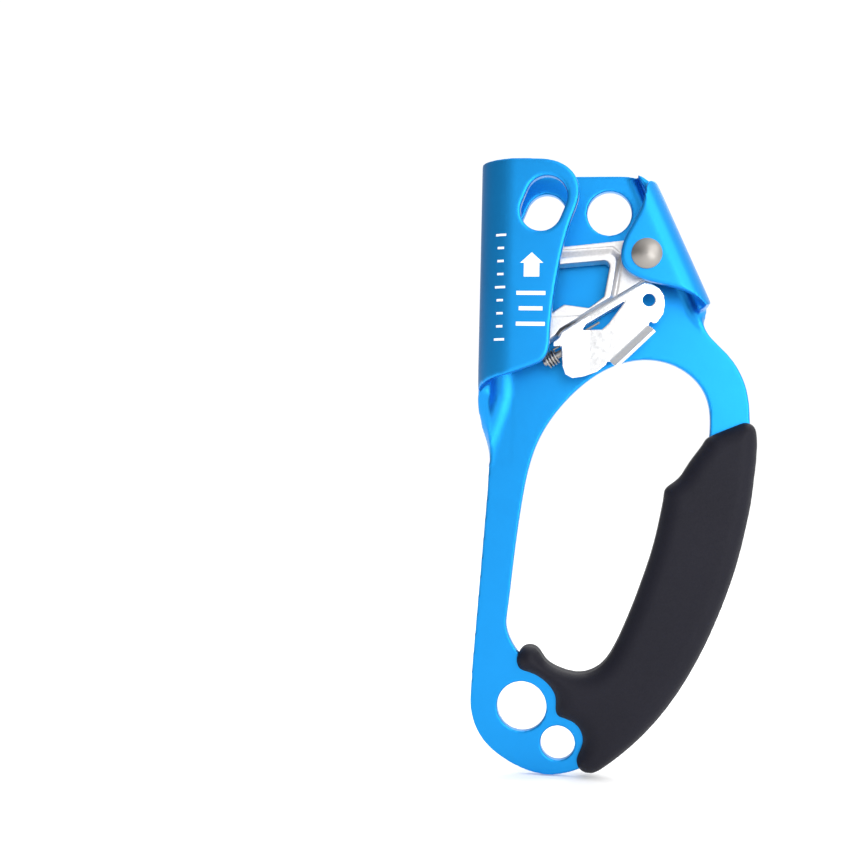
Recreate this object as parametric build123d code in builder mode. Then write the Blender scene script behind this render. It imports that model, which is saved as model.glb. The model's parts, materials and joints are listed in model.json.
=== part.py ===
# Hand ascender for the right hand: a toothed cam in a bent aluminium frame with a rubber grip.
# +Z runs up along the rope channel, +X to the right, and the front of the device faces -Y.
# The origin is the centre of the main attachment hole, on the mid-plane of the frame's back plate.
from build123d import *
from math import cos, radians, sin
import os

os.makedirs("parts", exist_ok=True)

# ---- Driving dimensions, in millimetres and degrees ----
# Depths are measured forward, towards -Y, from the mid-plane of the back plate.
sheet = 4.0                   # thickness of the frame's aluminium sheet
rope_gap = 13.5               # clear depth of the rope channel and of the cam fork
plate_front = sheet / 2
flange_back = plate_front + rope_gap
flange_front = flange_back + sheet
channel_x = -4.45             # centre line of the round rope channel
channel_inner = rope_gap / 2
channel_mid = channel_inner + sheet / 2
channel_outer = channel_inner + sheet
channel_depth = plate_front + channel_inner
curl_z = 97.0                 # below this the channel's wall runs out into the flat plate
runout_z = 74.5               # lower end of that run-out
plate_left = (-11.95, 76.0)   # where the plate's left edge meets the run-out
top_z = 167.5                 # top edge of the back plate
channel_top = 169.2           # and of the channel

fork_lean = 24.6              # the fork's bend leans this far from vertical
fork_outer = 7.0              # outer radius of the fork's two bends
fork_inner = fork_outer - sheet
fork_top = (31.6, 161.9)      # upper end of the line where the fork's bend starts
fork_foot = (48.53, 125.0)    # a point near that line's lower end
fork_length = 42.8            # the fork's wall ends this far down the line

attachment_radius = 7.75
foot_hole = (11.5, -10.9)
foot_hole_radius = 5.35
upper_hole = (24.5, 155.7)
upper_hole_radius = 6.95
slot_width = 12.6             # carabiner slot through the channel's front flange and the plate
slot_length = 17.2
slot_lean = 68.4
slot_in_flange = (4.75, 155.75)
slot_in_plate = (3.9, 153.3)

grip_half = 8.0               # the grip's half thickness

pivot = (36.0, 140.3)         # cam axle, x and z
head_radius = 4.6             # domed head of the cam axle
head_rim = 0.7
dome_height = 1.7
shank_radius = 3.0
bush_radius = 4.0
cam_bore_radius = 4.05
washer_thick = 0.6
washer_radius = 5.3
washer_play = 0.05

cam_back = 4.2                # depths of the cam's faces
cam_web = 12.6
cam_rim = 13.8
cam_edge = 6.3                # the cam's lower edge stays this far above the catch's pin
ledge_front = 10.2            # ledge behind the catch, and the knuckle for its pin
knuckle_back = 7.6
knuckle_start = 5.7
knuckle_end = 11.0
boss_radius = 6.3
boss_play = 0.15
groove_width = 0.7
groove_depth = 0.6
closed_reach = 41.3           # pivot to the toothed face at its top; it grows downwards
reach_growth = 0.145          # added reach for each degree further down
tooth_rows = 7

catch_lean = 31.7             # the catch's pin leans this far above horizontal
catch_foot = (7.5, 108.7)     # point on the pin's axis at the catch's left side, x and z
catch_axis_depth = 11.5
pin_radius = 1.1
pin_play = 0.05
catch_sheet = 1.4
catch_front = 14.6
catch_back = catch_front - catch_sheet
catch_top = 5.4               # the catch's upper edge, from the pin
catch_swing = 6.2             # and the radius in which it turns
catch_crease_x = 19.3         # left of this upright crease the catch leans forward
catch_lean_in = 0.7           # by this much at its left end
ear_radius = 1.7
ear_thick = 1.2

catch_wire = 0.7
catch_coil = 2.15             # mean radius of the catch's spring
catch_pitch = 0.95
cam_wire = 0.9
cam_coil = 6.5                # mean radius of the cam's spring
cam_pitch = 1.1


def front(depth):
    """Sketch plane that looks at the device's front, at this depth: x is X and y is Z."""
    return Plane.XZ.offset(depth)


def flowing(leaving, arriving, *points):
    """Smooth curve through these points, with its directions at the two ends."""
    return Spline(*points, tangents=(leaving, arriving), tangent_scalars=(1, 1))


# ---- Frame ----
fork_down = Vector(sin(radians(fork_lean)), 0, -cos(radians(fork_lean)))
fork_out = Vector(cos(radians(fork_lean)), 0, sin(radians(fork_lean)))


def channel_start(height, shift=0.0):
    """Plane across the channel where its curl starts: x points out to the left, y to the front."""
    return Plane(origin=(channel_x - shift, 0, height), x_dir=(-1, 0, 0), z_dir=(0, 0, 1))


def fork_start(drop, shift=0.0):
    """Plane across the fork's bend, this far down its line: x points out to the right, y to the front."""
    foot = Vector(fork_top[0], 0, fork_top[1]) + fork_down * drop + fork_out * shift
    return Plane(origin=foot, x_dir=fork_out, z_dir=fork_down)


def curl_band(start, mid_radius, angle, flat=0.0):
    """Section of the sheet where it has curled forward by this angle, after some flat sheet."""
    half = sheet / 2 - (0.02 if flat else 0.0)
    with BuildSketch(start) as band:
        with BuildLine():
            edge = []
            for radius in (mid_radius + half, mid_radius - half):
                for turn in (0, angle / 2, angle):
                    edge.append((radius * sin(radians(turn)), mid_radius - radius * cos(radians(turn))))
            if flat:
                Polyline(edge[3], (-flat, half), (-flat, -half), edge[0])
            else:
                Line(edge[3], edge[0])
            ThreePointArc(edge[0], edge[1], edge[2])
            Line(edge[2], edge[5])
            ThreePointArc(edge[5], edge[4], edge[3])
        make_face()
    return band.sketch


with BuildPart() as channel_trim:
    # outline of the channel's front flange, seen from the front
    with BuildSketch(front(channel_depth)):
        with BuildLine():
            flowing((1, 0.05), (-0.03, -1), (-18, channel_top), (0.6, 169.6), (9.5, 168.2), (14.3, 163.9),
                    (15.4, 158.5), (13.4, 151.5), (9.8, 137.0), (7.9, 123.5), (7.3, 113.5))
            flowing((-0.03, -1), (-1, -0.4), (7.3, 113.5), (5.5, 108.2), (0.9, 105.9))
            flowing((-1, -0.4), (-0.3, -1), (0.9, 105.9), (-5.6, 103.5), (-11.5, 101.6), (-14.6, 98.8),
                    (-15.6, 95.5))
            Polyline((-15.6, 95.5), (-18, 95.5), (-18, channel_top))
        make_face()
    extrude(amount=flange_front)

with BuildPart() as channel_bend:
    # the round channel with its front flange
    with BuildSketch(Plane.XY.offset(curl_z)):
        with BuildLine():
            Line((channel_x, -plate_front), (channel_x, plate_front))
            ThreePointArc((channel_x, plate_front), (channel_x - channel_outer, -channel_depth),
                          (channel_x, -flange_front))
            Polyline((channel_x, -flange_front), (20, -flange_front), (20, -flange_back),
                     (channel_x, -flange_back))
            ThreePointArc((channel_x, -flange_back), (channel_x - channel_inner, -channel_depth),
                          (channel_x, -plate_front))
        make_face()
    extrude(amount=75)
    add(channel_trim.part, mode=Mode.INTERSECT)

with BuildPart() as channel_back:
    # the back quarter of the bend, up to the plate's top edge
    add(curl_band(channel_start(curl_z), channel_mid, 90))
    extrude(amount=channel_top - curl_z)
    with BuildSketch(Plane.YZ.offset(channel_x - channel_outer - 1)):
        with BuildLine():
            Polyline((plate_front + 1, top_z), (plate_front, top_z), (-channel_depth, channel_top),
                     (-channel_depth - 1, 171), (plate_front + 1, 171), close=True)
        make_face()
    extrude(amount=channel_outer + 1, mode=Mode.SUBTRACT)

with BuildPart() as channel_runout:
    # the curl's wall gets lower and flatter, down to the plate; the ends lap a little into both
    for height, shift, mid_radius, angle in ((curl_z + 1.5, 0.0, channel_mid, 90), (92.0, 1.3, 9.4, 62),
                                             (86.0, 3.2, 10.0, 33), (80.0, 4.6, 14.0, 12),
                                             (runout_z, 5.4, 60.0, 2.0)):
        add(curl_band(channel_start(height, shift), mid_radius, angle, flat=3.0 + shift))
    loft()

with BuildPart() as fork_trim:
    # outline of the pivot flange, seen from the front
    with BuildSketch(front(channel_depth)):
        with BuildLine():
            flowing((-1, 0), (1, -0.23), (38.9, 163.3), (36.2, 162.6), (35.3, 159.6), (34.3, 155.0),
                    (30.8, 148.0), (28.4, 141.8), (28.9, 136.9), (33.2, 133.4), (42.5, 130.8))
            flowing((1, -0.23), (0.7, -1), (42.5, 130.8), (49.4, 128.6), (54.0, 125.0))
            Polyline((54.0, 125.0), (66, 115), (66, 150), (38.9, 163.3))
        make_face()
    extrude(amount=flange_front)
    # behind it, only the bend's top end is trimmed
    with BuildSketch(front(channel_depth)):
        with BuildLine():
            Polyline((66, 115), (66, 150), (38.9, 163.3), (34.4, 166.1), (30.0, 167.2), (26, 164), (44, 115),
                     close=True)
        make_face()
    extrude(amount=-flange_front)

with BuildPart() as fork_bend:
    # the fork: two bends with a flat wall between them, and the pivot flange
    with BuildSketch(fork_start(-8)):
        with BuildLine():
            Polyline((0, plate_front), (0, -plate_front))
            CenterArc((0, fork_outer - plate_front), fork_outer, -90, 90)
            Line((fork_outer, fork_outer - plate_front), (fork_outer, flange_front - fork_outer))
            CenterArc((0, flange_front - fork_outer), fork_outer, 0, 90)
            Polyline((0, flange_front), (-26, flange_front), (-26, flange_back), (0, flange_back))
            CenterArc((0, flange_back - fork_inner), fork_inner, 0, 90)
            Line((fork_inner, flange_back - fork_inner), (fork_inner, plate_front + fork_inner))
            CenterArc((0, plate_front + fork_inner), fork_inner, -90, 90)
        make_face()
    extrude(amount=fork_length + 8)
    add(fork_trim.part, mode=Mode.INTERSECT)

with BuildPart() as fork_runout:
    # below the pivot flange the fork's wall runs out into the plate
    for drop, shift, mid_radius, angle in ((fork_length - 1.5, 0.0, fork_outer - sheet / 2, 90),
                                           (45.2, 0.6, 5.2, 38), (47.6, 0.9, 10.0, 12),
                                           (50.4, 1.2, 60.0, 1.2)):
        add(curl_band(fork_start(drop, shift), mid_radius, angle, flat=3.0 + shift))
    loft()

with BuildPart() as frame:
    # flat back plate with the handle loop
    with BuildSketch(front(-plate_front)):
        with BuildLine():
            Polyline((channel_x, plate_left[1]), (channel_x, top_z), (26.3, top_z))
            flowing((1, 0), (1, -0.4), (26.3, top_z), (30.6, 167.2), (34.4, 166.2))
            Polyline((34.4, 166.2), fork_top, fork_foot, (53.6, 125.0))
            flowing((0.1, -1), (-0.5, -1), (53.6, 125.0), (54.6, 119.9), (61.4, 111.9), (67.3, 101.9),
                    (68.8, 91.8), (66.8, 70), (62.5, 47), (55.5, 27), (45.5, 8.5))
            flowing((-0.5, -1), (-1, -0.6), (45.5, 8.5), (32.5, -7.5), (21.5, -17))
            flowing((-1, -0.6), (-0.05, 1), (21.5, -17), (8.5, -20.9), (-3.5, -17.5), (-12.4, -10.4),
                    (-16.2, 0), (-16.0, 10))
            Line((-16.0, 10), (-12.3, 66))
            flowing((0.066, 1), (0, 1), (-12.3, 66), plate_left)
            Line(plate_left, (channel_x, plate_left[1]))
        make_face()
        with BuildLine():
            Spline((-5.3, 27.5), (-3.4, 46), (-1.1, 64.9), (3.2, 82.7), (13.6, 98.1), (27.6, 107.9),
                   (38.5, 109.6), (48.2, 106.5), (55.0, 99.1), (56.8, 90), (55.3, 79), (50.5, 66), (46.0, 53),
                   (41.5, 40), (36.2, 27), (29.0, 15), (18.5, 7.6), (8.0, 9.6), (-1.5, 17), periodic=True)
        make_face(mode=Mode.SUBTRACT)
        Circle(attachment_radius, mode=Mode.SUBTRACT)
        with Locations(foot_hole):
            Circle(foot_hole_radius, mode=Mode.SUBTRACT)
        with Locations(upper_hole):
            Circle(upper_hole_radius, mode=Mode.SUBTRACT)
    extrude(amount=sheet)
    for bent_part in (channel_bend, channel_back, channel_runout, fork_bend, fork_runout):
        add(bent_part.part)
    # carabiner slot through the front flange, and its twin through the plate
    for place, reach in ((slot_in_flange, flange_front), (slot_in_plate, -flange_front)):
        with BuildSketch(front(channel_depth)):
            with Locations(place):
                SlotOverall(slot_length, slot_width, rotation=slot_lean)
        extrude(amount=reach, mode=Mode.SUBTRACT)
    # cam axle's hole through both sides of the fork
    with BuildSketch(front(-flange_front)):
        with Locations(pivot):
            Circle(shank_radius)
    extrude(amount=2 * flange_front, mode=Mode.SUBTRACT)

frame.part.label = "frame"
export_step(frame.part, "parts/frame.step")

# ---- Grip: rubber moulded round the handle ----
with BuildPart() as grip:
    with BuildSketch(front(-grip_half)):
        with BuildLine():
            flowing((1, 0.3), (-0.2, -1), (66.5, 90.3), (69.6, 89.6), (70.8, 86.0), (70.3, 74.5), (68.7, 62))
            flowing((-0.2, -1), (-1, -0.7), (68.7, 62), (65.8, 48.5), (60.5, 32), (54.0, 17), (45.1, 2.1),
                    (36.5, -8.2), (28.3, -15.6), (24.6, -18.4))
            flowing((-1, -0.5), (0.1, 1), (24.6, -18.4), (21.2, -19.4), (18.2, -17.8), (17.6, -15.0))
            flowing((0.35, 1), (-1, 0.2), (17.6, -15.0), (19.4, -9.5), (16.8, -4.2), (12.4, -2.6))
            flowing((-1, 0.2), (-1, 0.4), (12.4, -2.6), (11.0, -1.2), (10.8, 2.8), (8.1, 7.7), (3.6, 10.6),
                    (-0.6, 11.9))
            flowing((-0.5, 0.5), (0.5, -0.9), (-0.6, 11.9), (-1.7, 15.2), (0.5, 18.7), (3.4, 18.9),
                    (6.4, 15.8))
            flowing((0.5, -0.9), (0.4, 1), (6.4, 15.8), (11.5, 12.2), (17.5, 11.0), (23.6, 13.2), (28.1, 19),
                    (32.5, 29))
            flowing((0.4, 1), (0.05, 1), (32.5, 29), (36.3, 39.5), (40.0, 51.5), (42.3, 62.5), (43.1, 68.2))
            flowing((0.05, 1), (0.5, 1), (43.1, 68.2), (46.6, 72.0), (50.6, 77.6), (55.7, 85.2))
            flowing((0.7, 0.6), (0.9, 0.35), (55.7, 85.2), (60.6, 87.8), (66.5, 90.3))
        make_face()
    extrude(amount=2 * grip_half)
    add(frame.part, mode=Mode.SUBTRACT)

grip.part.label = "grip"
export_step(grip.part, "parts/grip.step")

# ---- Cam axle: a rivet through the fork, with its sleeve and washers ----
axle_plane = Plane(origin=(pivot[0], 0, pivot[1]), x_dir=(1, 0, 0), z_dir=(0, -1, 0))


def disc_on_axle(radius, depth, length, bore=0.0):
    """Add a disc round the cam axle, from this depth forward."""
    with BuildSketch(axle_plane.offset(depth)) as disc:
        Circle(radius)
        if bore:
            Circle(bore, mode=Mode.SUBTRACT)
    extrude(disc.sketch, amount=length)


dome_radius = (head_radius ** 2 + dome_height ** 2) / (2 * dome_height)
with BuildPart() as cam_axle:
    # half section: clinched tail behind the plate, shank, and domed head in front
    with BuildSketch(Plane(origin=(pivot[0], 0, pivot[1]), x_dir=(1, 0, 0), z_dir=(0, 0, 1))):
        with BuildLine():
            side = Polyline((0, 3.6), (2.6, 3.6), (4.3, 3.0), (4.7, 2.4), (4.7, plate_front),
                            (shank_radius, plate_front), (shank_radius, -flange_front),
                            (head_radius, -flange_front), (head_radius, -flange_front - head_rim))
            dome = RadiusArc(side @ 1, (0, -flange_front - head_rim - dome_height), dome_radius)
            Line(dome @ 1, (0, 3.6))
        make_face()
    revolve(axis=Axis((pivot[0], 0, pivot[1]), (0, 1, 0)))
cam_axle.part.label = "cam_axle"
export_step(cam_axle.part, "parts/cam_axle.step")

with BuildPart() as axle_bush:
    disc_on_axle(bush_radius, plate_front, rope_gap, shank_radius)
axle_bush.part.label = "axle_bush"
export_step(axle_bush.part, "parts/axle_bush.step")

with BuildPart() as cam_washer_back:
    disc_on_axle(washer_radius, plate_front + washer_play, washer_thick, cam_bore_radius)
cam_washer_back.part.label = "cam_washer_back"
export_step(cam_washer_back.part, "parts/cam_washer_back.step")

with BuildPart() as cam_washer_front:
    disc_on_axle(washer_radius, flange_back - washer_play - washer_thick, washer_thick, cam_bore_radius)
cam_washer_front.part.label = "cam_washer_front"
export_step(cam_washer_front.part, "parts/cam_washer_front.step")

# ---- Cam ----
catch_along = (cos(radians(catch_lean)), sin(radians(catch_lean)))
pin_axis = Vector(catch_along[0], 0, catch_along[1])
# sections square to the catch's pin: x is up towards the cam, y is forward
catch_section = Plane(origin=(catch_foot[0], -catch_axis_depth, catch_foot[1]),
                      x_dir=(-catch_along[1], 0, catch_along[0]), z_dir=pin_axis)


def catch_point(along, up):
    """x and z of a point given along the catch's pin and square to it, up towards the cam."""
    return (catch_foot[0] + along * catch_along[0] - up * catch_along[1],
            catch_foot[1] + along * catch_along[1] + up * catch_along[0])


def face_point(below, extra=0.0):
    """x and z of a point on the toothed face, this many degrees below the pivot's level."""
    reach = closed_reach + reach_growth * (below - 8) + extra
    return (pivot[0] - reach * cos(radians(below)), pivot[1] - reach * sin(radians(below)))


boss_back = plate_front + washer_thick + boss_play
boss_front = flange_back - washer_thick - boss_play
rim_foot = ((-1.0, 139.9), (9.0, 141.7), (25.6, 142.9), (28.4, 140.6), catch_point(26.3, cam_edge + 0.2),
            catch_point(14.5, cam_edge + 0.2), (-1.0, 121.0))
rim_crest = ((-1.0, 138.5), (9.0, 139.6), (24.9, 141.1), (27.2, 139.5), catch_point(25.1, cam_edge + 0.6),
             catch_point(14.5, cam_edge + 0.6), (-1.0, 121.0))

with BuildPart() as cam:
    # body: tooth block, top bar and web, up to the pivot
    with BuildSketch(front(cam_back)):
        with BuildLine():
            Spline(face_point(8), face_point(18), face_point(28), face_point(38))
            Polyline(face_point(38), (2.5, 110.8), catch_point(2.6, 5.0), catch_point(5.2, 5.3),
                     catch_point(7.0, cam_edge), catch_point(36.5, cam_edge),
                     (pivot[0] + 2.5, pivot[1] - 4.9), (pivot[0] + 2.5, pivot[1] + 5.7), (33.0, 145.8),
                     (29.7, 145.4), (9.5, 143.3), (0.5, 140.9), face_point(8))
        make_face()
    extrude(amount=cam_web - cam_back)
    # groove along the foot of the raised rim
    with BuildSketch(front(cam_web)):
        with BuildLine():
            Polyline(*rim_foot, close=True)
        make_face()
        offset(amount=groove_width, kind=Kind.ARC)
        with Locations((6.0, 124.0)):
            Rectangle(22.0, 26.0, mode=Mode.SUBTRACT)
    extrude(amount=-groove_depth, mode=Mode.SUBTRACT)
    # raised rim round the window, with a sloping outer side
    for depth, outline in ((cam_web - groove_depth, rim_foot), (cam_rim, rim_crest)):
        with BuildSketch(front(depth)) as rim:
            with BuildLine():
                Polyline(*outline, close=True)
            make_face()
            fillet(rim.vertices().sort_by(Axis.X)[-3:], radius=1.5)
    loft(ruled=True)
    # lobe below the window
    with BuildSketch(front(cam_web - groove_depth)):
        with BuildLine():
            Polyline((5.6, 116.0), catch_point(2.8, 5.3), catch_point(5.1, 5.6),
                     catch_point(7.0, cam_edge + 0.2), catch_point(16.0, cam_edge + 0.2), (18.6, 124.6),
                     (11.2, 125.6), (5.6, 121.9), close=True)
        make_face()
    extrude(amount=cam_rim - cam_web + 0.2)
    # ledge behind the catch's upper strip, and the knuckle for the catch's pin
    with BuildSketch(front(cam_back)):
        with BuildLine():
            Polyline(catch_point(5.6, 3.9), catch_point(37.0, 3.9), catch_point(37.0, 7.5),
                     catch_point(5.6, 7.5), close=True)
        make_face()
    extrude(amount=ledge_front - cam_back)
    with BuildSketch(front(knuckle_back)):
        with BuildLine():
            Polyline(catch_point(knuckle_start, -1.2), catch_point(knuckle_end, -1.2),
                     catch_point(knuckle_end, 5.0), catch_point(knuckle_start, 5.0), close=True)
        make_face()
    extrude(amount=ledge_front - knuckle_back)
    with BuildSketch(catch_section.offset(knuckle_start)):
        Circle(pin_radius + 0.55)
    extrude(amount=knuckle_end - knuckle_start)
    disc_on_axle(boss_radius, boss_back, boss_front - boss_back)
    # window
    with BuildSketch(front(0)) as window:
        with BuildLine():
            Polyline((3.0, 137.2), (25.3, 139.3), (23.4, 127.9), (18.9, 124.4), (11.2, 125.4), (7.0, 122.6),
                     (3.0, 121.6), close=True)
        make_face()
        corners = window.vertices().sort_by(Axis.X)
        fillet(corners[-1], radius=1.8)
        fillet(corners[:-1], radius=0.9)
    extrude(amount=20, mode=Mode.SUBTRACT)
    # pocket for the cam spring round the back of the boss
    with BuildSketch(axle_plane):
        Circle(cam_coil + 1.2)
        Circle(cam_coil - 1.1, mode=Mode.SUBTRACT)
    extrude(amount=6.6, mode=Mode.SUBTRACT)
    # bores for the sleeve and for the catch's pin
    with BuildSketch(axle_plane):
        Circle(cam_bore_radius)
    extrude(amount=20, mode=Mode.SUBTRACT)
    with BuildSketch(catch_section):
        Circle(pin_radius + pin_play)
    extrude(amount=16, mode=Mode.SUBTRACT)
    # rows of teeth, pointing down into the rope
    for row in range(tooth_rows):
        below = 10.5 + 4.2 * row
        for sideways in ((-3.0, 0.0, 3.0) if row % 2 else (-1.5, 1.5)):
            root = face_point(below, -0.6)
            lean = radians(below + 38)
            with Locations(Plane(origin=(root[0], -channel_depth + sideways, root[1]),
                                 z_dir=(-cos(lean), 0, -sin(lean)))):
                Cone(bottom_radius=1.0, top_radius=0.2, height=2.3,
                     align=(Align.CENTER, Align.CENTER, Align.MIN))
cam.part.label = "cam"
export_step(cam.part, "parts/cam.step")

# ---- Catch ----
catch_plane = Plane(origin=(catch_foot[0], 0, catch_foot[1]), x_dir=pin_axis, z_dir=(0, -1, 0))
back_lift = catch_back - catch_axis_depth
front_lift = catch_front - catch_axis_depth
tab_start = Vector(31.2, -6.4)
tab_end = Vector(14.5, -10.1)

with BuildPart() as catch_outline:
    with BuildSketch(catch_plane.offset(catch_back - 1)) as web:
        with BuildLine():
            Polyline((7.2, catch_top), (5.6, 4.2), (3.2, 3.8), (2.5, 2.7), (4.9, 1.7), (2.0, -3.7),
                     (1.4, -6.5), (2.6, -8.6), (5.9, -9.9), (10.2, -10.7), (tab_end.X, tab_end.Y),
                     (tab_start.X, tab_start.Y), (33.0, -7.2), (36.1, -5.9), (38.0, -3.7), (39.2, -1.2),
                     (39.2, 1.4), (38.0, 4.0), (36.4, catch_top), close=True)
        make_face()
        fillet(web.vertices().filter_by(lambda v: abs(v.X - tab_start.X) > 0.1), radius=0.5)
        with BuildLine():
            Polyline((12.7, 2.5), (14.6, 3.45), (28.7, 3.5), (20.6, 0.1), (17.9, -0.45), close=True)
        make_face(mode=Mode.SUBTRACT)
        # cord hole, and the relief holes at the ends of the tab's fold
        for place, radius in (((34.6, 0), 1.9), ((31.4, -6.6), 0.6), ((14.3, -10.3), 0.6)):
            with Locations(place):
                Circle(radius, mode=Mode.SUBTRACT)
    extrude(amount=4)

with BuildPart() as catch:
    # web: two facets that meet in an upright crease
    with BuildSketch(Plane.XY.offset(98)):
        with BuildLine():
            Polyline((46, -catch_back), (catch_crease_x, -catch_back), (7, -catch_back - catch_lean_in),
                     (7, -catch_front - catch_lean_in), (catch_crease_x, -catch_front), (46, -catch_front),
                     close=True)
        make_face()
    extrude(amount=38)
    add(catch_outline.part, mode=Mode.INTERSECT)
    # the upper edge is rounded, to turn clear of the cam
    with BuildSketch(catch_section):
        with Locations((6.0, 4.0)):
            Rectangle(3.0, 5.0)
        Circle(catch_swing, mode=Mode.SUBTRACT)
    extrude(amount=42, mode=Mode.SUBTRACT)
    # two ears behind the web, one each side of the cam's knuckle
    for ear_start in (knuckle_start - ear_thick - 0.2, knuckle_end + 0.2):
        with BuildSketch(catch_section.offset(ear_start)):
            Circle(ear_radius)
            with Locations((0, 1.5)):
                Rectangle(2 * ear_radius, 3.0)
        extrude(amount=ear_thick)
    with BuildSketch(catch_section):
        Circle(pin_radius)
    extrude(amount=14, mode=Mode.SUBTRACT)
    # thumb tab, folded forward along the lower edge
    tab_run = (catch_plane.from_local_coords(tab_start) - catch_plane.from_local_coords(tab_end)).normalized()
    tab_root = catch_plane.offset(catch_axis_depth).from_local_coords(tab_start) - tab_run * 0.6
    with BuildSketch(Plane(origin=tab_root, x_dir=(tab_run.Z, 0, -tab_run.X), z_dir=-tab_run)) as tab:
        with BuildLine():
            Polyline((-1.2, back_lift), (0.9, back_lift), (3.4, back_lift + 4.4), (2.2, back_lift + 5.1),
                     (0.15, front_lift), (-1.2, front_lift), close=True)
        make_face()
        fillet(tab.vertices().sort_by(Axis.Y)[-2:], radius=0.5)
    extrude(amount=16.0)
catch.part.label = "catch"
export_step(catch.part, "parts/catch.step")

with BuildPart() as catch_pin:
    with BuildSketch(catch_section.offset(-2.6)):
        Circle(pin_radius)
    extrude(amount=15.6)
    chamfer(catch_pin.faces().filter_by(GeomType.PLANE).edges(), length=0.25)
catch_pin.part.label = "catch_pin"
export_step(catch_pin.part, "parts/catch_pin.step")


# ---- Springs ----
def coil(plane, start_angle, mean_radius, wire, pitch, turns):
    """Add a coil of round wire that climbs along the plane's normal."""
    path = plane * Rot(0, 0, start_angle) * Helix(pitch=pitch, height=pitch * turns, radius=mean_radius)
    with BuildSketch(Plane(origin=path @ 0, z_dir=path % 0)) as end:
        Circle(wire / 2)
    sweep(end.sketch, path=path, is_frenet=True)
    return path


def straight_leg(start, way, wire, length):
    """Add a straight end of the wire."""
    with BuildSketch(Plane(origin=start, z_dir=way)) as end:
        Circle(wire / 2)
    extrude(end.sketch, amount=length)


with BuildPart() as catch_spring:
    wound = coil(catch_section.offset(-1.6), 13, catch_coil, catch_wire, catch_pitch, 4)
    # one leg turns off round a small ball, runs on behind the catch and presses on it
    with Locations(wound @ 1):
        Sphere(catch_wire / 2 + 0.05)
    straight_leg(wound @ 1, pin_axis, catch_wire, 16.3)
with BuildPart() as cam_spring:
    wound = coil(axle_plane.offset(3.4), fork_lean, cam_coil, cam_wire, cam_pitch, 2.25)
    # the other leg lies along the fork's wall
    straight_leg(wound @ 0, wound % 0 * -1, cam_wire, 9.0)
for spring, name in ((catch_spring, "catch_spring"), (cam_spring, "cam_spring")):
    spring.part.label = name
    export_step(spring.part, f"parts/{name}.step")
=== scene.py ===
import json
import math

import bmesh
import bpy
from mathutils import Matrix, Vector, kdtree


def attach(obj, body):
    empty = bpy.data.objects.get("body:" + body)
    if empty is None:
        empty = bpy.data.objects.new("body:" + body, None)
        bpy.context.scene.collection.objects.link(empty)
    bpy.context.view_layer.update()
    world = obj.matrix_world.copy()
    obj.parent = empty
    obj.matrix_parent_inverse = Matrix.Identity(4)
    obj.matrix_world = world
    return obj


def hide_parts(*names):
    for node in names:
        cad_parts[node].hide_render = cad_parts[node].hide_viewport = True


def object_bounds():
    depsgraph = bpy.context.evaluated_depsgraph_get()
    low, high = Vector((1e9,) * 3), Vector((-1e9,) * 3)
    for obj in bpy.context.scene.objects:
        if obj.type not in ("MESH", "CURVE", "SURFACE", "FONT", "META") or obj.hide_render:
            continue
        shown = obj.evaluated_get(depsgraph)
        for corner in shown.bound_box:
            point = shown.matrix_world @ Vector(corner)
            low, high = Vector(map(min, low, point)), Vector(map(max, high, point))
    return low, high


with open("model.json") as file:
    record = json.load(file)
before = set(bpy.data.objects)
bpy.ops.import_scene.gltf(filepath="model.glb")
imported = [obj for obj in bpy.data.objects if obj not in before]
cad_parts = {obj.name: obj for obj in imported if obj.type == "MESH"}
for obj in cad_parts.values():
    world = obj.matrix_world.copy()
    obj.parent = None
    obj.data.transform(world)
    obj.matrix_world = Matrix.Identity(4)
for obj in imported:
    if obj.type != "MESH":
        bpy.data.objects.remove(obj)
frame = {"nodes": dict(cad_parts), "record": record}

cad_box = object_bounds()
MM = 0.001

# ---- Dimensions shared with the CAD, in millimetres ----
CHANNEL_X = -4.45          # centre of the round rope channel
CHANNEL_DEPTH = 8.75
CHANNEL_RADIUS = 10.75
FLANGE_FRONT = 19.5
GRIP_HALF = 8.0
# where the sheet's free edges meet: the channel's foot, and both ends of the fork
FORMED_CORNERS = (((-13.4, -8.0, 97.5), 8.0), ((-14.0, -5.0, 92.0), 6.0),
                  ((54.0, -8.0, 125.0), 8.0), ((38.0, -10.0, 163.0), 6.0))

# ---- Printed marks, in millimetres ----
INK_UNDER, INK_OVER = -0.02, 0.05      # the ink's back and front, from the metal's surface
ARROW = ((1.45, 140.6), (-2.05, 137.4), (-0.9, 137.4), (-0.9, 133.2), (3.8, 133.2), (3.8, 137.4),
         (4.95, 137.4))
BARS_X = 1.4
BARS = ((128.2, 4.4), (123.5, 3.6), (118.8, 4.4))      # height and half length of each
BAR_HALF = 0.6
TICKS = 9
TICKS_X = -8.1
LOWEST_TICK = 114.0
TICK_STEP = 4.0
TICK_HALF = 0.35
LONG_TICK, SHORT_TICK = 1.6, 1.0       # half lengths; every fourth tick is long
TICK_COLUMNS = 8                       # strips that follow the round of the channel


def add_object(name, data):
    made = bpy.data.objects.new(name, data)
    bpy.context.scene.collection.objects.link(made)
    return made


# ---- Camera, floor and light ----
def make_camera():
    """Straight in front of the plate, a little under half a metre away, aimed left of the object."""
    lens = bpy.data.cameras.new("camera")
    lens.sensor_width = 36.0
    lens.lens = 57.6
    camera = add_object("camera", lens)
    camera.location = (0.0271, -0.432, 0.0763)
    aim = Vector((-0.0326, -0.002, 0.0879))
    turn = (aim - camera.location).to_track_quat("-Z", "Y").to_matrix().to_4x4()
    roll = Matrix.Rotation(math.radians(1.3), 4, "Z")
    camera.matrix_world = Matrix.Translation(camera.location) @ turn @ roll
    bpy.context.scene.camera = camera


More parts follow.
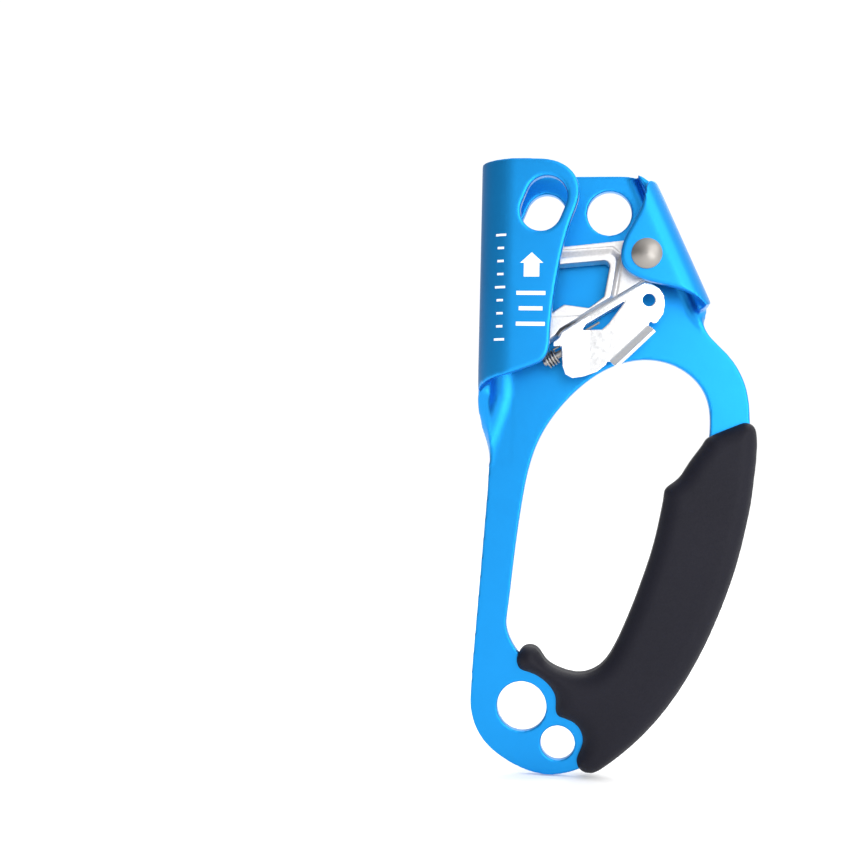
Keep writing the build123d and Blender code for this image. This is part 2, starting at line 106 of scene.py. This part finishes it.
def make_light(name, place, target, size, power):
    lamp = bpy.data.lights.new(name, "AREA")
    lamp.shape = "RECTANGLE"
    lamp.size, lamp.size_y = size
    lamp.energy = power
    light = add_object(name, lamp)
    light.location = place
    light.visible_camera = False
    light.rotation_euler = (Vector(target) - Vector(place)).to_track_quat("-Z", "Y").to_euler()


def make_floor():
    """A wide sheet of white paper just below the object."""
    lowest = cad_box[0][2]
    bpy.ops.mesh.primitive_plane_add(size=60.0, location=(0, 0, lowest - 0.4 * MM))
    floor = bpy.context.object
    floor.name = "floor"
    paper, nodes, links, shader = new_material("floor_paper")
    fibres = add_noise(nodes, links, 0.6, 3)
    shade(nodes, links, fibres, shader.inputs["Base Color"], (0.93, 0.93, 0.93), (0.95, 0.95, 0.95))
    shader.inputs["Roughness"].default_value = 0.9
    shader.inputs["Emission Color"].default_value = (1.0, 1.0, 1.0, 1)
    shader.inputs["Emission Strength"].default_value = 0.22
    floor.data.materials.append(paper)


def make_surroundings():
    """A white tent: brightest overhead and to the right, dimmer at the left, plain white behind it all."""
    world = bpy.data.worlds.new("studio")
    bpy.context.scene.world = world
    world.use_nodes = True
    nodes, links = world.node_tree.nodes, world.node_tree.links
    background = nodes["Background"]
    place = nodes.new("ShaderNodeTexCoord")
    split = nodes.new("ShaderNodeSeparateXYZ")
    links.new(place.outputs["Generated"], split.inputs[0])
    across = ramp(nodes, links, split.outputs["X"], (-0.75, 0.55), (0.38, 1.2), "SMOOTHSTEP")
    overhead = ramp(nodes, links, split.outputs["Z"], (0.2, 0.9), (0.0, 0.35), "SMOOTHSTEP")
    total = nodes.new("ShaderNodeMath")
    total.operation = "ADD"
    links.new(across, total.inputs[0])
    links.new(overhead, total.inputs[1])
    path = nodes.new("ShaderNodeLightPath")
    seen = nodes.new("ShaderNodeMix")
    links.new(path.outputs["Is Camera Ray"], seen.inputs["Factor"])
    links.new(total.outputs[0], seen.inputs["A"])
    seen.inputs["B"].default_value = 1.05
    links.new(seen.outputs["Result"], background.inputs["Strength"])
    background.inputs["Color"].default_value = (1.0, 1.0, 1.0, 1)


def make_studio():
    middle = (cad_box[0] + cad_box[1]) / 2
    make_floor()
    make_surroundings()
    make_light("key", (0.55, -0.75, 0.55), middle, (0.8, 0.8), 3.0)
    make_light("low_right", (0.35, -0.55, 0.0), (0.05, 0, 0.08), (0.35, 0.25), 0.8)
    make_light("right_front", (0.13, -0.45, 0.17), (0.05, 0, 0.12), (0.16, 0.16), 0.2)
    make_light("back", (0.1, 0.6, 0.7), middle, (0.8, 0.5), 2.5)
    bpy.context.scene.view_settings.view_transform = "Standard"


# ---- Materials ----
def new_material(name):
    material = bpy.data.materials.new(name)
    material.use_nodes = True
    nodes, links = material.node_tree.nodes, material.node_tree.links
    return material, nodes, links, nodes["Principled BSDF"]


def add_noise(nodes, links, size, detail, roughness=0.5, stretch=(1.0, 1.0, 1.0)):
    """Noise with grains of this size in millimetres, tied to the object; returns its 0 to 1 output."""
    place = nodes.new("ShaderNodeTexCoord")
    mapping = nodes.new("ShaderNodeMapping")
    links.new(place.outputs["Object"], mapping.inputs["Vector"])
    mapping.inputs["Scale"].default_value = [s / (size * MM) for s in stretch]
    noise = nodes.new("ShaderNodeTexNoise")
    links.new(mapping.outputs["Vector"], noise.inputs["Vector"])
    noise.inputs["Scale"].default_value = 1.0
    noise.inputs["Detail"].default_value = detail
    noise.inputs["Roughness"].default_value = roughness
    return noise.outputs["Fac"]


def shade(nodes, links, value, socket, low, high):
    """Drive a colour socket between two colours with a 0 to 1 value."""
    mix = nodes.new("ShaderNodeMix")
    mix.data_type = "RGBA"
    links.new(value, mix.inputs["Factor"])
    mix.inputs["A"].default_value = (*low, 1)
    mix.inputs["B"].default_value = (*high, 1)
    links.new(mix.outputs["Result"], socket)


def ramp(nodes, links, value, source, target, kind="LINEAR"):
    """Turn a value from the source range to the target range; returns the output."""
    spread = nodes.new("ShaderNodeMapRange")
    spread.interpolation_type = kind
    links.new(value, spread.inputs["Value"])
    spread.inputs["From Min"].default_value, spread.inputs["From Max"].default_value = source
    spread.inputs["To Min"].default_value, spread.inputs["To Max"].default_value = target
    return spread.outputs["Result"]


def vary(nodes, links, value, socket, target):
    """Drive a number socket through a range with a noise value, which stays mostly between 0.3 and 0.7."""
    links.new(ramp(nodes, links, value, (0.3, 0.7), target), socket)


def roughen(nodes, links, shader, value, depth):
    """Add bumps of this depth in millimetres."""
    bump = nodes.new("ShaderNodeBump")
    bump.inputs["Distance"].default_value = depth * MM
    bump.inputs["Strength"].default_value = 1.0
    links.new(value, bump.inputs["Height"])
    links.new(bump.outputs["Normal"], shader.inputs["Normal"])


def metal(name, dark, light, roughness, grain, depth, wear=9.0, stretch=(1.0, 1.0, 1.0), coat=0.0):
    """A metal with a fine grain, slow changes of shade, and uneven polish."""
    material, nodes, links, shader = new_material(name)
    shader.inputs["Metallic"].default_value = 1.0
    slow = add_noise(nodes, links, wear, 4)
    fine = add_noise(nodes, links, grain, 5, 0.6, stretch)
    shade(nodes, links, slow, shader.inputs["Base Color"], dark, light)
    vary(nodes, links, fine, shader.inputs["Roughness"], roughness)
    roughen(nodes, links, shader, fine, depth)
    shader.inputs["Coat Weight"].default_value = coat
    shader.inputs["Coat Roughness"].default_value = 0.3
    return material


def rubber_material():
    material, nodes, links, shader = new_material("grip_rubber")
    slow = add_noise(nodes, links, 14.0, 3)
    skin_grain = add_noise(nodes, links, 0.55, 6, 0.65)
    shade(nodes, links, slow, shader.inputs["Base Color"], (0.0045, 0.0045, 0.010), (0.0075, 0.0072, 0.0145))
    vary(nodes, links, skin_grain, shader.inputs["Roughness"], (0.5, 0.66))
    shader.inputs["Specular IOR Level"].default_value = 0.2
    roughen(nodes, links, shader, skin_grain, 0.05)
    return material


def print_material():
    material, nodes, links, shader = new_material("print_white")
    ink = add_noise(nodes, links, 0.5, 4)
    shade(nodes, links, ink, shader.inputs["Base Color"], (0.78, 0.80, 0.82), (0.9, 0.91, 0.92))
    vary(nodes, links, ink, shader.inputs["Roughness"], (0.45, 0.6))
    return material


def paint(piece, material):
    piece.data.materials.clear()
    piece.data.materials.append(material)


# ---- Pieces made from the CAD nodes ----
def settle(work, modifiers):
    """Run these modifiers on an object and keep the result as its mesh."""
    for kind, settings in modifiers:
        modifier = work.modifiers.new(kind.lower(), kind)
        for key, value in settings.items():
            setattr(modifier, key, value)
    finished = bpy.data.meshes.new_from_object(work.evaluated_get(bpy.context.evaluated_depsgraph_get()))
    work.modifiers.clear()
    work.data = finished


def skin(node, voxel, rounds, reshape=None):
    """A copy of a CAD node with its sharp edges rounded: an even mesh of small squares, smoothed a little."""
    source = frame["nodes"][node]
    work = add_object(node + "_skin", source.data.copy())
    settle(work, (("REMESH", {"mode": "VOXEL", "voxel_size": voxel * MM}),))
    if reshape:
        reshape(work.data, source.data)
    settle(work, (("SMOOTH", {"factor": 0.5, "iterations": rounds}),))
    if node == "frame":
        soften(work, FORMED_CORNERS, 60)
    for polygon in work.data.polygons:
        polygon.use_smooth = True
    return work


def soften(work, places, rounds):
    """Smooth a mesh further inside round regions, so that formed corners flow into each other."""
    group = work.vertex_groups.new(name="formed")
    for vert in work.data.vertices:
        weight = 0.0
        for place, reach in places:
            weight = max(weight, 1.0 - (vert.co / MM - Vector(place)).length / reach)
        if weight > 0:
            group.add([vert.index], min(1.0, 2.0 * weight), "REPLACE")
    settle(work, (("SMOOTH", {"factor": 0.5, "iterations": rounds, "vertex_group": "formed"}),))


def outline_points(mesh, depth, step):
    """Points along the outline of a CAD mesh's flat face at this depth, seen from the front."""
    points = []
    grid = bmesh.new()
    grid.from_mesh(mesh)
    for edge in grid.edges:
        ends = [vert.co for vert in edge.verts]
        if any(abs(end.y + depth * MM) > 0.01 * MM for end in ends):
            continue
        if len(edge.link_faces) == 2 and all(abs(face.normal.y) > 0.9 for face in edge.link_faces):
            continue
        count = max(1, round(edge.calc_length() / (step * MM)))
        points += [ends[0].lerp(ends[1], i / count) for i in range(count + 1)]
    grid.free()
    return points


def round_grip(mesh, cad_mesh):
    """Give the slab of rubber rounded borders: it thins towards its outline, as seen from the front."""
    border = 5.6        # how far in from the outline the rounding reaches
    edge_half = 3.0     # half the thickness left at the outline
    core = 2.3          # nothing this close to the middle moves, so the rubber still covers the metal
    outline = outline_points(cad_mesh, GRIP_HALF, 0.3)
    tree = kdtree.KDTree(len(outline))
    for index, point in enumerate(outline):
        tree.insert(Vector((point.x, 0, point.z)), index)
    tree.balance()
    for vert in mesh.vertices:
        depth = abs(vert.co.y) / MM
        if depth <= core:
            continue
        inside = tree.find(Vector((vert.co.x, 0, vert.co.z)))[2] / MM
        rise = math.sqrt(1 - (1 - min(inside / border, 1.0)) ** 2)
        half = edge_half + (GRIP_HALF - edge_half) * rise
        vert.co.y = math.copysign(core + (depth - core) * (half - core) / (GRIP_HALF - core), vert.co.y) * MM


# ---- Printed marks on the flange ----
def flange_surface(x):
    """Depth of the frame's front at this x: the flat flange, or the round channel to its left."""
    if x >= CHANNEL_X:
        return FLANGE_FRONT
    return CHANNEL_DEPTH + math.sqrt(CHANNEL_RADIUS ** 2 - (x - CHANNEL_X) ** 2)


def print_shape(grid, corners):
    """Add a thin plate of ink that follows the flange. Corners are (x, z), round its outline."""
    loops = []
    for lift in (INK_UNDER, INK_OVER):
        loops.append([grid.verts.new((x * MM, -(flange_surface(x) + lift) * MM, z * MM)) for x, z in corners])
    grid.faces.new(loops[1])
    grid.faces.new(list(reversed(loops[0])))
    for i in range(len(corners)):
        j = (i + 1) % len(corners)
        grid.faces.new((loops[0][i], loops[0][j], loops[1][j], loops[1][i]))


def print_bar(grid, left, right, z, half):
    print_shape(grid, ((left, z - half), (right, z - half), (right, z + half), (left, z + half)))


def make_print():
    """An arrow that points up the rope, three bars below it, and a row of short ticks along the channel."""
    grid = bmesh.new()
    print_shape(grid, ARROW)
    for z, reach in BARS:
        print_bar(grid, BARS_X - reach, BARS_X + reach, z, BAR_HALF)
    for tick in range(TICKS):
        z = LOWEST_TICK + TICK_STEP * tick
        reach = LONG_TICK if tick % 4 == 0 else SHORT_TICK
        left, right = TICKS_X - reach, TICKS_X + reach
        for column in range(TICK_COLUMNS):
            start = left + (right - left) * column / TICK_COLUMNS
            end = left + (right - left) * (column + 1) / TICK_COLUMNS
            print_bar(grid, start, end, z, TICK_HALF)
    bmesh.ops.remove_doubles(grid, verts=grid.verts, dist=0.001 * MM)
    bmesh.ops.recalc_face_normals(grid, faces=grid.faces)
    mesh = bpy.data.meshes.new("print_marks")
    grid.to_mesh(mesh)
    grid.free()
    return add_object("print_marks", mesh)


make_camera()
make_studio()

# colours where dark and light, roughness, then the grain's size and depth in millimetres
aluminium = metal("anodised_aluminium", (0.0055, 0.255, 0.665), (0.0070, 0.28, 0.71), (0.30, 0.40), 0.22,
                  0.012, coat=0.2)
cast = metal("cast_steel", (0.56, 0.55, 0.55), (0.80, 0.79, 0.79), (0.30, 0.5), 0.5, 0.06, wear=0.7)
polished = metal("polished_steel", (0.80, 0.805, 0.82), (0.88, 0.885, 0.90), (0.12, 0.24), 1.2, 0.006)
rivet = metal("rivet_steel", (0.25, 0.235, 0.22), (0.36, 0.34, 0.32), (0.30, 0.42), 0.35, 0.006)
bush = metal("bush_steel", (0.46, 0.46, 0.47), (0.56, 0.56, 0.57), (0.3, 0.45), 0.3, 0.004,
             stretch=(1.0, 0.1, 1.0))
wire = metal("spring_steel", (0.20, 0.19, 0.185), (0.36, 0.35, 0.34), (0.22, 0.4), 0.4, 0.004)
rubber = rubber_material()

# node, size of the squares in millimetres, rounds of smoothing, material, slot, and what reshapes it
skins = (("frame", 0.4, 8, aluminium, "anodised_aluminium", None),
         ("cam", 0.22, 5, cast, "cast_steel", None),
         ("catch", 0.16, 4, polished, "polished_steel", None),
         ("grip", 0.55, 8, rubber, "grip_rubber", round_grip))
body_of_node = {}
for body, members in frame["record"]["behaviour"]["bodies"].items():
    for node in members:
        body_of_node[node] = body

for node, voxel, rounds, material, slot, reshape in skins:
    piece = skin(node, voxel, rounds, reshape)
    paint(piece, material)
    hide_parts(node)
    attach(piece, body_of_node[node])

for node, material in (("cam_axle", rivet), ("catch_pin", rivet), ("axle_bush", bush),
                       ("cam_washer_front", bush), ("cam_washer_back", bush), ("cam_spring", wire),
                       ("catch_spring", wire)):
    paint(frame["nodes"][node], material)

marks = make_print()
paint(marks, print_material())
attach(marks, "frame_body")
